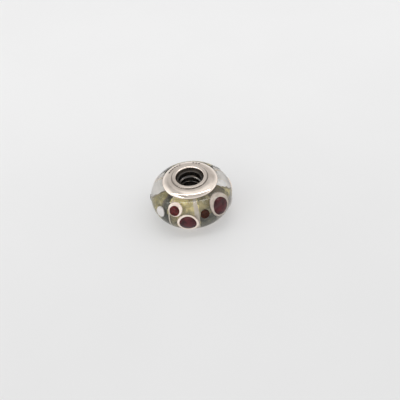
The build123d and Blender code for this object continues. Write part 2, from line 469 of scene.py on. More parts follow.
@dataclass(frozen=True)
class PolishedSilver:
    """Sterling silver, polished, then cloudy and scratched with use; painted shade by the lip, in the bore
    and at the cap's foot, with tarnish as well in the groove.
    """

    bright: Colour = (0.96, 0.855, 0.765)
    dull: Colour = (0.87, 0.765, 0.675)
    # Tarnish with painted shade in the groove by the lip, and the painted contact shadow at the cap's foot.
    groove: Colour = (0.16, 0.14, 0.125)
    # Painted shade on the lip's outer slope.
    lip_fall_shade: Colour = (0.42, 0.37, 0.33)
    # Painted shade on the tube's wall inside the bore.
    bore_shade: Colour = (0.52, 0.475, 0.435)
    roughness: Span = (0.07, 0.16)
    clouds: Grain = Grain(0.7, 2.0, (0.35, 0.7))
    smudges: Grain = Grain(3.0, 3.0, NOISE_SPREAD)
    dents: Grain = Grain(0.6, 2.0)
    long_marks: Marks = Marks((0.3, 0.2, 0.7), (1.2, 26.0, 26.0), Grain(1.0, 3.0, (0.62, 0.72)))
    cross_marks: Marks = Marks((0.1, 0.4, -0.9), (30.0, 1.4, 30.0), Grain(1.0, 3.0, (0.64, 0.74)))
    groove_radius: float = LIP_RADIUS + 0.03
    groove_width: float = 0.09
    collar_steps: Span = (-0.25, -0.05)
    fall_start: Span = (-0.17, -0.10)
    fall_end: Span = (0.0, 0.12)
    bore_skin: Span = (0.01, 0.06)
    bore_top: Span = (-0.30, -0.16)
    foot_steps: Span = (0.03, 0.16)
    foot_reach: Span = (3.6, 4.0)
    scratch_depth: float = 0.0008
    dent_depth: float = 0.005

    def tarnish_and_shade(self, graph: Graph, colour: Socket) -> Socket:
        """Darken the silver by the lip, in the bore and at the cap's foot: painted shade, with tarnish as
        well in the groove.

        Args:
            graph: The material's nodes.
            colour: The clean silver.

        Returns:
            The silver's colour.
        """
        radius, level = graph.radius(), graph.level()
        collar = graph.between(level, *beyond(CAP_TOP, self.collar_steps))
        # Painted shade on the lip's outer slope.
        fall = graph.both(
            graph.between(radius, *beyond(LIP_RADIUS, self.fall_start)),
            graph.fading(radius, *beyond(LIP_RADIUS, self.fall_end)),
        )
        # Tarnish and painted shade in the groove between the lip and the cap.
        groove = graph.near(radius, self.groove_radius, 0.0, self.groove_width)
        # Painted shade inside the bore.
        inside = graph.both(
            graph.fading(radius, *beyond(TUBE_BORE, self.bore_skin)),
            graph.fading(level, *beyond(LIP_TOP, self.bore_top)),
        )
        # Painted contact shadow at the cap's foot, where it meets the glass.
        foot = graph.both(
            graph.fading(level, *beyond(CAP_FOOT, self.foot_steps)),
            graph.between(radius, *self.foot_reach),
        )
        for share, darker in (
            (graph.both(fall, collar), self.lip_fall_shade),
            (graph.both(groove, collar), self.groove),
            (inside, self.bore_shade),
            (foot, self.groove),
        ):
            colour = graph.blend(share, colour, darker)
        return colour

    def material(self) -> bpy.types.Material:
        """Build the material.

        Returns:
            The material.
        """
        graph = Graph("scratched silver with painted shade")
        clean = graph.blend(graph.grain(self.clouds), self.bright, self.dull)
        dents = graph.bump(graph.grain(self.dents), self.dent_depth)
        scratches = graph.sum("ADD", graph.streaks(self.long_marks), graph.streaks(self.cross_marks))
        return graph.shade({
            "Base Color": self.tarnish_and_shade(graph, clean),
            "Metallic": 1.0,
            "Roughness": graph.grain(self.smudges, self.roughness),
            "Normal": graph.bump(scratches, -self.scratch_depth, dents),
        })


@dataclass(frozen=True)
class DarkenedSilver:
    """Oxidised silver of the inner sleeve, with painted shade in patches on its end faces and deeper in the
    bore, and a painted highlight in patches along the land's edges.
    """

    dark: Colour = (0.13, 0.122, 0.12)
    brown: Colour = (0.18, 0.148, 0.12)
    # Painted shade deeper in the bore.
    deep: Colour = (0.02, 0.02, 0.02)
    # Painted shade on the end faces, in patches.
    end_face_shade: Colour = (0.075, 0.068, 0.062)
    # Painted highlight along the land's edges, in patches.
    edge_highlight: Colour = (0.33, 0.31, 0.29)
    patches: Grain = Grain(1.8, 4.0, (0.42, 0.66))
    patch_grain: Grain = Grain(4.0, 3.0, (0.25, 0.5))
    smudges: Grain = Grain(5.0, 2.0, NOISE_SPREAD)
    pits: Grain = Grain(7.0, 3.0)
    end_steps: Span = (-0.10, -0.02)
    bore_shade_levels: Span = (1.5, 1.9)
    bore_shade_share: float = 0.4
    land_edge: float = 2.34
    edge_reach: Span = (0.04, 0.12)
    patch_share: Span = (0.35, 1.0)
    roughness: Span = (0.24, 0.42)
    pit_depth: float = 0.006

    def material(self) -> bpy.types.Material:
        """Build the material.

        Returns:
            The material.
        """
        graph = Graph("darkened silver")
        level = graph.level()
        patchy = graph.grain(self.patch_grain, self.patch_share)
        on_end = graph.between(level, *beyond(SLEEVE_END, self.end_steps))
        colour = graph.blend(graph.grain(self.patches), self.dark, self.brown)
        # Painted shade on the end faces and deeper in the bore, and a painted highlight along the land's
        # edges.
        for share, other in (
            (graph.both(on_end, patchy), self.end_face_shade),
            (graph.between(level, *self.bore_shade_levels, self.bore_shade_share, 0.0), self.deep),
            (graph.both(graph.near(level, self.land_edge, *self.edge_reach), patchy), self.edge_highlight),
        ):
            colour = graph.blend(share, colour, other)
        return graph.shade({
            "Base Color": colour,
            "Metallic": 1.0,
            "Roughness": graph.grain(self.smudges, self.roughness),
            "Normal": graph.bump(graph.grain(self.pits), self.pit_depth),
        })


@dataclass(frozen=True)
class BlackOxide:
    """Dull black oxide left in the punch dots."""

    black: Colour = (0.012, 0.011, 0.011)
    grey: Colour = (0.03, 0.028, 0.026)
    specks: Grain = Grain(9.0, 2.0, (0.4, 0.7))
    roughness: float = 0.6
    gloss: float = 0.2

    def material(self) -> bpy.types.Material:
        """Build the material.

        Returns:
            The material.
        """
        graph = Graph("black oxide")
        colour = graph.blend(graph.grain(self.specks), self.black, self.grey)
        return graph.shade({
            "Base Color": colour, "Roughness": self.roughness, "Specular IOR Level": self.gloss,
        })


@dataclass(frozen=True)
class ClearGlass:
    """Colourless glass with the faint waves of hand work."""

    colour: tuple[float, float, float, float] = (0.985, 0.99, 0.975, 1.0)
    index: float = 1.51
    waves: Grain = Grain(0.55, 1.0)
    wave_depth: float = 0.012
    roughness: float = 0.02

    def material(self) -> bpy.types.Material:
        """Build the material.

        Returns:
            The material.
        """
        graph = Graph("clear glass")
        waves = graph.bump(graph.grain(self.waves), self.wave_depth)
        return graph.shade({
            "Base Color": self.colour,
            "Roughness": self.roughness,
            "IOR": self.index,
            "Transmission Weight": 1.0,
            "Normal": waves,
        })


class Foil(Enum):
    """Colours of the glass over the foil, some of them painted shade and light: red, green, blue, and the
    share of bright flakes.
    """

    OLIVE = (0.66, 0.555, 0.26, 0.9)
    # A darker copy of the olive: painted shade.
    MILD_OLIVE_SHADE = (0.47, 0.395, 0.205, 0.7)
    # A darker copy of the olive: painted shade.
    DEEP_OLIVE_SHADE = (0.27, 0.22, 0.11, 0.45)
    # Painted shade where the glass shows dark surroundings.
    SLATE_SHADE = (0.115, 0.11, 0.075, 0.15)
    BROWN = (0.19, 0.145, 0.095, 0.2)
    # A lighter copy of the brown: painted light.
    LIT_BROWN = (0.26, 0.20, 0.125, 0.2)
    SHADED_OLIVE = (0.40, 0.335, 0.13, 0.6)
    # A darker copy of the slate green: painted shade.
    DARK_SLATE_SHADE = (0.075, 0.07, 0.04, 0.15)
    SMOKE = (0.42, 0.37, 0.31, 0.1)
    PALE = (1.0, 0.96, 0.92, 0.05)


@dataclass(frozen=True)
class FoilGlass:
    """Coloured barrel: panels of olive and slate green round the bead, with flakes of foil in them. The
    slate green and the darker olives are painted shade, the warmer brown painted light.

    Each table gives the azimuth at which a panel starts, and its glass.
    """

    upper: tuple[tuple[float, Foil], ...] = (
        (-180.0, Foil.OLIVE), (-150.0, Foil.SLATE_SHADE), (-118.0, Foil.SHADED_OLIVE),
        (-58.0, Foil.BROWN), (-54.0, Foil.DARK_SLATE_SHADE), (-44.5, Foil.OLIVE), (9.0, Foil.MILD_OLIVE_SHADE),
        (34.0, Foil.LIT_BROWN), (66.0, Foil.DEEP_OLIVE_SHADE), (73.0, Foil.OLIVE), (90.0, Foil.SMOKE),
        (112.0, Foil.SLATE_SHADE), (138.0, Foil.OLIVE),
    )
    lower: tuple[tuple[float, Foil], ...] = (
        (-180.0, Foil.DEEP_OLIVE_SHADE), (-150.0, Foil.SLATE_SHADE), (-118.0, Foil.SHADED_OLIVE),
        (-60.0, Foil.DARK_SLATE_SHADE), (-37.0, Foil.DEEP_OLIVE_SHADE), (-28.0, Foil.OLIVE),
        (8.0, Foil.SLATE_SHADE), (36.0, Foil.SMOKE), (84.0, Foil.OLIVE), (112.0, Foil.SLATE_SHADE),
        (138.0, Foil.DEEP_OLIVE_SHADE),
    )
    side_grain: Grain = Grain(1.3, 3.0)
    ragged_side: float = 0.16
    border_grain: Grain = Grain(0.9, 2.0)
    ragged_border: float = 1.2
    border: Span = (0.18, 0.42)
    petal_azimuth: float = 104.0
    petal_width: float = 36.0
    petal_lean: float = 8.0
    petal_level: float = 2.9
    petal_foot: float = 0.70
    petal_bow: float = 1.0
    foot_grain: Grain = Grain(0.9, 3.0)
    ragged_foot: float = 1.4
    petal_soft: Span = (-1.2, 1.2)
    foot_soft: Span = (0.0, 0.15)
    seam: Span = (1.5, 5.0)
    foot_seam: Span = (-0.25, -0.05)
    seam_share: float = 0.8
    petal_metal: float = 0.45
    clouds: Grain = Grain(1.1, 4.0, (0.3, 0.72))
    cloud_levels: Span = (0.62, 1.3)
    rim_levels: Span = (1.1, 2.1)
    # Painted light on the olive panels near the top rim.
    rim_light: float = 0.7
    lifted: Span = (0.75, 0.85)
    flake: Colour = (0.90, 0.86, 0.60)
    flake_scale: float = 6.5
    flake_picked: Span = (0.80, 0.95)
    flake_share: float = 0.7
    flake_metal: float = 0.55
    flake_tilt: float = 0.05
    roughness: float = 0.32

    def panels(self, graph: Graph, angle: Socket) -> tuple[Socket, Socket]:
        """Lay the upper and the lower panels round the barrel.

        Args:
            graph: The material's nodes.
            angle: Angle round from the front, in radians, with ragged sides.

        Returns:
            The colour and the share of bright flakes.
        """
        turn = graph.sum("MULTIPLY_ADD", angle, 1 / math.tau, 0.5)
        upper, lower = (
            graph.ramp(turn, [(azimuth / 360 + 0.5, glass.value) for azimuth, glass in table]).outputs
            for table in (self.upper, self.lower)
        )
        height = graph.sum("SUBTRACT", graph.z, self.ragged_border / 2)
        height = graph.sum("MULTIPLY_ADD", graph.grain(self.border_grain), self.ragged_border, height)
        above = graph.between(height, *self.border)
        return graph.blend(above, lower[0], upper[0]), graph.mix(above, lower[1], upper[1])

    def petals(self, graph: Graph, angle: Socket) -> tuple[Socket, Socket]:
        """Lay a pale petal on each shoulder, leaning and with a bowed, ragged foot.

        Args:
            graph: The material's nodes.
            angle: Angle round from the front, in radians, with ragged sides.

        Returns:
            The share of the petals and the share of the brown seam round them.
        """
        turned = graph.both(graph.sum("ABSOLUTE", angle), 180 / math.pi)
        off_middle = graph.sum("ABSOLUTE", graph.sum("SUBTRACT", turned, self.petal_azimuth))
        leaning = graph.sum("MULTIPLY_ADD", graph.z, -self.petal_lean, off_middle)
        off_share = graph.both(off_middle, 1 / self.petal_width)
        bow = graph.both(graph.sum("POWER", off_share, 2.0), self.petal_bow)
        height = graph.sum("SUBTRACT", graph.z, bow)
        foot = graph.sum("MULTIPLY_ADD", graph.grain(self.foot_grain), self.ragged_foot, height)
        side = self.petal_width - self.petal_level * self.petal_lean
        petal = graph.both(
            graph.fading(leaning, *beyond(side, self.petal_soft)),
            graph.between(foot, *beyond(self.petal_foot, self.foot_soft)),
        )
        seam = graph.both(
            graph.fading(leaning, *beyond(side, self.seam)),
            graph.between(foot, *beyond(self.petal_foot, self.foot_seam)),
        )
        return petal, graph.both(seam, self.seam_share)

    def material(self) -> bpy.types.Material:
        """Build the material.

        Returns:
            The material.
        """
        graph = Graph("foil glass with painted light and shade")
        ragged = graph.grain(self.side_grain)
        ragged = graph.sum("MULTIPLY_ADD", ragged, self.ragged_side, -self.ragged_side / 2)
        angle = graph.sum("ADD", graph.azimuth(), ragged)
        colour, glitter = self.panels(graph, angle)
        petal, seam = self.petals(graph, angle)
        colour = graph.blend(seam, colour, Foil.BROWN.value)
        colour = graph.blend(petal, colour, Foil.PALE.value)
        clouds = graph.grain(self.clouds, self.cloud_levels)
        colour = graph.scaled(colour, graph.mix(petal, clouds, 1.0))
        # Painted light: the olive panels are brightened near the top rim.
        near_rim = graph.between(graph.z, *self.rim_levels)
        rim_light = graph.between(glitter, *self.lifted, 0.0, self.rim_light)
        colour = graph.scaled(colour, graph.sum("MULTIPLY_ADD", near_rim, rim_light, 1.0))
        flakes = graph.add("ShaderNodeTexVoronoi", {"Vector": graph.place, "Scale": self.flake_scale})
        pick = graph.add("ShaderNodeSeparateColor", {0: flakes.outputs["Color"]})
        bright = graph.both(graph.between(pick.outputs[0], *self.flake_picked), glitter)
        bright = graph.both(bright, graph.sum("SUBTRACT", 1.0, petal))
        return graph.shade({
            "Base Color": graph.blend(graph.both(bright, self.flake_share), colour, self.flake),
            "Metallic": graph.sum(
                "MAXIMUM", graph.both(bright, self.flake_metal), graph.both(petal, self.petal_metal)
            ),
            "Roughness": self.roughness,
            "Normal": graph.bump(pick.outputs[1], self.flake_tilt),
        })


@dataclass(frozen=True)
class OpaqueGlass:
    """Opaque or deep-coloured glass, cloudy inside and glossy on the surface."""

    name: str
    light: Colour
    deep: Colour
    roughness: float = 0.06
    gloss: float = 0.5
    clouds: Grain = Grain(1.2, 4.0, NOISE_SPREAD)
    waves: Grain = Grain(1.4, 1.0)
    wave_depth: float = 0.004

    def material(self) -> bpy.types.Material:
        """Build the material.

        Returns:
            The material.
        """
        graph = Graph(self.name)
        colour = graph.blend(graph.grain(self.clouds), self.deep, self.light)
        waves = graph.bump(graph.grain(self.waves), self.wave_depth)
        return graph.shade({
            "Base Color": colour,
            "Roughness": self.roughness,
            "Specular IOR Level": self.gloss,
            "Normal": waves,
        })


FINE_CLOUDS = Grain(2.4, 4.0, NOISE_SPREAD)
WHITE = OpaqueGlass("white glass", (0.66, 0.63, 0.61), (0.59, 0.56, 0.54))
RING = OpaqueGlass("ivory glass", (0.84, 0.73, 0.64), (0.74, 0.61, 0.52))
# A darker copy of the ivory glass for two eye rings: painted shade.
SHADED_RING = OpaqueGlass("shaded ivory glass", (0.52, 0.45, 0.385), (0.40, 0.34, 0.29))
PALE = OpaqueGlass("pale glass", (0.90, 0.80, 0.69), (0.78, 0.68, 0.57), roughness=0.2)
MAROON = OpaqueGlass(
    "maroon glass", (0.085, 0.014, 0.018), (0.028, 0.006, 0.007), roughness=0.08, gloss=0.28
)
RED = OpaqueGlass(
    "red glass", (0.11, 0.010, 0.010), (0.035, 0.005, 0.005), gloss=0.2, clouds=FINE_CLOUDS
)
DARK_RED = OpaqueGlass(
    "dark red glass", (0.046, 0.012, 0.005), (0.016, 0.005, 0.003), gloss=0.12, clouds=FINE_CLOUDS
)


@dataclass
class SilverCore:
    """The tube through the bead with its rolled lips, and the threaded sleeve inside it."""

    lip_foot: float = CAP_TOP + CLEARANCE
    lip_edge: float = 0.05
    lip_drop: float = 0.22
    land_inner: float = 2.59
    land_outer: float = 2.79
    sleeve_bore: float = 1.90
    sleeve_edge: float = 0.15
    land_radius: float = 1.70
    land_end: float = 2.40
    pitch: float = 1.0
    thread_depth: float = 0.16
    thread_width: float = 0.30
    thread_root: float = 0.10
    turns: int = 7
    turn_parts: int = 96
    edge_step: int = 15
    seam_level: float = 0.5
    trim_slack: float = 0.01

    def tube(self, look: bpy.types.Material) -> bpy.types.Object:
        """Turn half the tube's section and mirror it.

        Args:
            look: The silver.

        Returns:
            The tube.
        """
        section = Section(TUBE_OUTSIDE, 0).line(TUBE_OUTSIDE, self.lip_foot, parts=4)
        section.line(LIP_RADIUS, self.lip_foot).line(LIP_RADIUS, self.lip_foot + self.lip_edge)
        section.crown(self.land_outer, LIP_TOP, parts=10).line(self.land_inner, LIP_TOP, parts=3)
        section.crown(TUBE_BORE, LIP_TOP - self.lip_drop, parts=12).line(TUBE_BORE, 0, parts=6)
        return seated(finished(section.mirrored(), "silver_tube", look), "polished_silver", ["core_tube"])

    def thread(self) -> bmesh.types.BMesh:
        """Screw one turn of the land's wall, with its groove, along the bore and trim its ends.

        Returns:
            The wall of the land, open at both ends.
        """
        start = -self.turns * self.pitch / 2
        flank = (self.thread_width - self.thread_root) / 2
        section = Section(self.land_radius, start)
        section.line(self.land_radius, start + self.pitch - self.thread_width, parts=4)
        for radius, step in (
            (self.land_radius + self.thread_depth, flank),
            (self.land_radius + self.thread_depth, self.thread_root),
            (self.land_radius, flank),
        ):
            section.line(radius, section.tip.co.z / MM + step)
        mesh = section.mesh
        climb = Vector((0, 0, self.pitch * MM / self.turn_parts))
        sweep(mesh, math.tau * self.turns, self.turn_parts * self.turns, dvec=climb)
        for side in (-1, 1):
            bmesh.ops.bisect_plane(
                mesh, geom=mesh.verts[:] + mesh.edges[:] + mesh.faces[:], dist=WELD,
                plane_co=(0, 0, side * self.land_end * MM), plane_no=(0, 0, side), clear_outer=True,
            )
        return mesh

    def rings(self) -> list[tuple[float, float]]:
        """List the sleeve's rings, from the land's end round to its outside.

        Returns:
            The radius and the level of each.
        """
        edge, outer = SLEEVE_END - self.sleeve_edge, SLEEVE_RADIUS - 2 * self.sleeve_edge
        ledge = self.sleeve_bore - self.land_radius
        rings = [(self.sleeve_bore, self.land_end + ledge), (self.sleeve_bore, edge)]
        for degrees in range(self.edge_step, 180 - self.edge_step + 1, self.edge_step):
            middle = self.sleeve_bore if degrees <= 90 else outer
            turn = math.radians(degrees)
            across = self.sleeve_edge * (1 - math.cos(turn))
            rings.append((middle + across, edge + self.sleeve_edge * math.sin(turn)))
        return rings + [(SLEEVE_RADIUS, edge), (SLEEVE_RADIUS, self.seam_level)]

    def sleeve(self, look: bpy.types.Material) -> bpy.types.Object:
        """Draw the sleeve out from both ends of the threaded land, and join the two halves outside.

        Args:
            look: The darkened silver.

        Returns:
            The sleeve.
        """
        mesh = self.thread()
        end_level = (self.land_end - self.trim_slack) * MM
        loops = []
        for side in (-1, 1):
            loop = [
                edge for edge in mesh.edges
                if edge.is_boundary and all(side * vert.co.z > end_level for vert in edge.verts)
            ]
            for radius, level in self.rings():
                made = bmesh.ops.extrude_edge_only(mesh, edges=loop)["geom"]
                loop = [item for item in made if isinstance(item, bmesh.types.BMEdge)]
                for vert in {vert for edge in loop for vert in edge.verts}:
                    across = Vector((vert.co.x, vert.co.y, 0)).normalized() * radius
                    vert.co = Vector((across.x, across.y, side * level)) * MM
            loops += loop
        bmesh.ops.bridge_loops(mesh, edges=loops)
        return seated(finished(mesh, "threaded_sleeve", look), "darkened_silver", ["thread_sleeve"])


class End(Enum):
    """The two ends of the bead."""

    TOP = 1
    BOTTOM = -1


@dataclass
class EndCap:
    """Domed silver washer that a lip holds down on the glass, with plain punch dots on the top one."""

    end: End
    roll_radius: float = 1.51
    sheet: float = 0.35
    foot_radius: float = 4.72
    rim: float = 0.05
    rim_sweep: float = 1.2
    rim_reach: float = 2.2
    bore_edge: float = 0.03
    punch_radius: float = 0.17
    punch_depth: float = 0.08
    punch_slope: float = 12.0
    punch_step: float = 8.0
    punch_count: int = 3
    punch_azimuths: tuple[float, ...] = (-149.0, -125.0, 158.0)

    @property
    def roll_level(self) -> float:
        """Height of the roll's centre."""
        return CAP_TOP - self.roll_radius

    @property
    def flat(self) -> float:
        """Radius where the cap's flat ends and its roll starts."""
        return self.foot_radius - math.sqrt(self.roll_radius**2 - (CAP_FOOT - self.roll_level) ** 2)

    def body(self) -> bmesh.types.BMesh:
        """Turn the washer's section.

        Returns:
            The washer of the top end, without its marks.
        """
        roll_level, flat = self.roll_level, self.flat
        foot_rise = CAP_FOOT - roll_level
        inner_radius = self.roll_radius - self.sheet
        foot = math.degrees(math.asin(foot_rise / self.roll_radius))
        rim_turn = math.degrees(self.rim / self.roll_radius) * self.rim_sweep
        inner_foot = math.degrees(math.asin(foot_rise / inner_radius))
        section = Section(SEAT_BORE, CAP_TOP - self.sheet).line(SEAT_BORE, CAP_TOP - self.bore_edge)
        section.line(SEAT_BORE + self.bore_edge, CAP_TOP).line(flat, CAP_TOP, parts=8)
        section.arc(flat, roll_level, foot + rim_turn - 90, parts=40)
        section.crown(self.foot_radius - self.rim_reach * self.rim, CAP_FOOT, parts=1)
        section.line(flat + inner_radius * math.cos(math.radians(inner_foot)), CAP_FOOT)
        section.arc(flat, roll_level, 90 - inner_foot, parts=12).line(SEAT_BORE, CAP_TOP - self.sheet)
        return section.turned()

    def punches(self, look: bpy.types.Material) -> bpy.types.Object:
        """Make the ball ends of the punch, where they struck the roll.

        Args:
            look: The finish that they leave in the dots.

        Returns:
            One object that holds them all.
        """
        ball = (self.punch_radius**2 + self.punch_depth**2) / (2 * self.punch_depth)
        reach = self.roll_radius + ball - self.punch_depth
        slope = math.radians(self.punch_slope)
        across = (self.flat + reach * math.sin(slope)) * MM
        height = (self.roll_level + reach * math.cos(slope)) * MM
        mesh = bmesh.new()
        for start in self.punch_azimuths:
            for count in range(self.punch_count):
                azimuth = math.radians(start + self.punch_step * (count - (self.punch_count - 1) / 2))
                place = Matrix.Translation((across * math.sin(azimuth), -across * math.cos(azimuth), height))
                bmesh.ops.create_icosphere(mesh, subdivisions=3, radius=ball * MM, matrix=place)
        return finished(mesh, "punch", look)

    def build(self, look: bpy.types.Material, marks: bpy.types.Material) -> bpy.types.Object:
        """Build the cap for its end.

        Args:
            look: The silver.
            marks: The finish inside the punch dots.

        Returns:
            The cap.
        """
        mesh = self.body()
        if self.end is End.BOTTOM:
            bmesh.ops.scale(mesh, vec=(1, 1, -1), verts=mesh.verts)
        name = self.end.name.lower()
        piece = finished(mesh, f"silver_cap_{name}", look)
        if self.end is End.TOP:
            carve(piece, self.punches(marks))
        return seated(piece, "polished_silver", [f"end_cap_{name}"])


def carve(piece: bpy.types.Object, cutter: bpy.types.Object) -> None:
    """Cut one object out of another for good, leaving its finish in the cuts, and remove the cutter.

    Args:
        piece: The object that is cut.
        cutter: The object that cuts it.
    """
    cut = piece.modifiers.new("cut", "BOOLEAN")
    cut.operation = "DIFFERENCE"
    cut.object = cutter
    cut.solver = "EXACT"
    cut.material_mode = "TRANSFER"
    graph = bpy.context.evaluated_depsgraph_get()
    shape = bpy.data.meshes.new_from_object(piece.evaluated_get(graph))
    piece.modifiers.clear()
    piece.data = shape
    shape.shade_smooth()
    shape.set_sharp_from_angle(angle=SHARP_ANGLE)
    bpy.data.objects.remove(cutter)


def ripple(at: float, seed: int, waves: Sequence[Wave]) -> float:
    """Add up sine waves at a place, each given by its rate, its shift for each seed, and its size."""
    return sum(size * math.sin(rate * at + shift * seed) for rate, shift, size in waves)


@dataclass
class GlassBody:
    """The clear casing, the coloured barrel inside it, and the pale stringers laid on the barrel."""

    end_rounding: float = 0.18
    barrel_bore: float = SEAT_BORE + 0.03
    stringer_rise: float = 0.012
    stringer_depth: float = 0.2
    stringer_end: float = 74.0
    stringer_parts: int = 10
    sway_degrees: float = 0.25
    sway_waves: tuple[Wave, ...] = ((1.7, 1.0, 1.0), (4.3, 2.0, 0.5))
    full_sway_width: float = 4.0
    stringers: tuple[Span, ...] = ((5.0, 7.2), (-40.0, 2.2), (120.0, 6.0), (-160.0, 2.4), (-114.0, 6.0))

    def casing(self, look: bpy.types.Material) -> bpy.types.Object:
        """Turn half the casing's section, without its seats, because the glass is fused.

        Args:
            look: The clear glass.

        Returns:
            The casing.
        """
        inner = BELLY_RADIUS - self.end_rounding
        edge_level = GLASS_END - self.end_rounding
        edge_radius = BELLY_CENTRE + math.sqrt(inner**2 - edge_level**2)
        turn = math.degrees(math.atan2(edge_level, edge_radius - BELLY_CENTRE))
        section = Section(GLASS_RADIUS, 0).arc(BELLY_CENTRE, 0, turn, parts=48)
        section.arc(edge_radius, edge_level, 90 - turn, parts=8)
        section.line(SEAT_BORE, GLASS_END, parts=6).line(SEAT_BORE, 0, parts=4)
        return seated(finished(section.mirrored(), "glass_casing", look), "clear_glass", ["clear_casing"])

    def barrel(self, look: bpy.types.Material) -> bpy.types.Object:
        """Turn half the barrel's section, without the stringers' grooves.

        Args:
            look: The foil glass.

        Returns:
            The barrel.
        """
        radius = BARREL_RADIUS - BELLY_CENTRE
        turn = math.degrees(math.asin(BARREL_END / radius))
        section = Section(BARREL_RADIUS, 0).arc(BELLY_CENTRE, 0, turn, parts=40)
        section.line(self.barrel_bore, BARREL_END, parts=4).line(self.barrel_bore, 0, parts=2)
        return seated(finished(section.mirrored(), "foil_barrel", look), "foil_glass", ["foil_core"])

    def stringer(self, number: int, azimuth: float, width: float, look: bpy.types.Material) -> None:
        """Lay one pale stringer along the barrel, with the small sway of hand work.

        Args:
            number: Which one it is, from 1.
            azimuth: Where its middle is.
            width: How far it reaches round the barrel, in degrees.
            look: The pale glass.
        """
        outer = BARREL_RADIUS - BELLY_CENTRE + self.stringer_rise
        inner = outer - self.stringer_depth
        end = math.radians(self.stringer_end)
        section = Section(BELLY_CENTRE + inner * math.cos(end), -inner * math.sin(end))
        section.line(BELLY_CENTRE + outer * math.cos(end), -outer * math.sin(end))
        section.arc(BELLY_CENTRE, 0, 2 * self.stringer_end, parts=48)
        section.line(BELLY_CENTRE + inner * math.cos(end), inner * math.sin(end))
        section.arc(BELLY_CENTRE, 0, -2 * self.stringer_end, parts=48)
        mesh = section.mesh
        bmesh.ops.remove_doubles(mesh, verts=mesh.verts, dist=WELD)
        start = Matrix.Rotation(math.radians(azimuth - 90 - width / 2), 3, "Z")
        bmesh.ops.rotate(mesh, verts=mesh.verts, cent=(0, 0, 0), matrix=start)
        sweep(mesh, math.radians(width), self.stringer_parts)
        bmesh.ops.holes_fill(mesh, edges=[edge for edge in mesh.edges if edge.is_boundary], sides=0)
        most = self.sway_degrees * min(1.0, width / self.full_sway_width)
        for vert in mesh.verts:
            sway = math.radians(most * ripple(vert.co.z / MM, number, self.sway_waves))
            vert.co.rotate(Matrix.Rotation(sway, 3, "Z"))
        seated(finished(mesh, f"pale_stringer_{number}", look), "pale_glass", [f"pale_stripe_{number}"])

    def build(self, clear: ClearGlass, foil: FoilGlass, pale: OpaqueGlass) -> None:
        """Build all the glass but the dots.

        Args:
            clear: The casing's glass.
            foil: The barrel's glass.
            pale: The stringers' glass.
        """
        self.casing(clear.material())
        self.barrel(foil.material())
        look = pale.material()
        for number, (azimuth, width) in enumerate(self.stringers, 1):
            self.stringer(number, azimuth, width, look)


@dataclass(frozen=True)
class Spot:
    """Where a dot sits on the round of the glass, in degrees, and its radius."""

    azimuth: float
    latitude: float
    radius: float


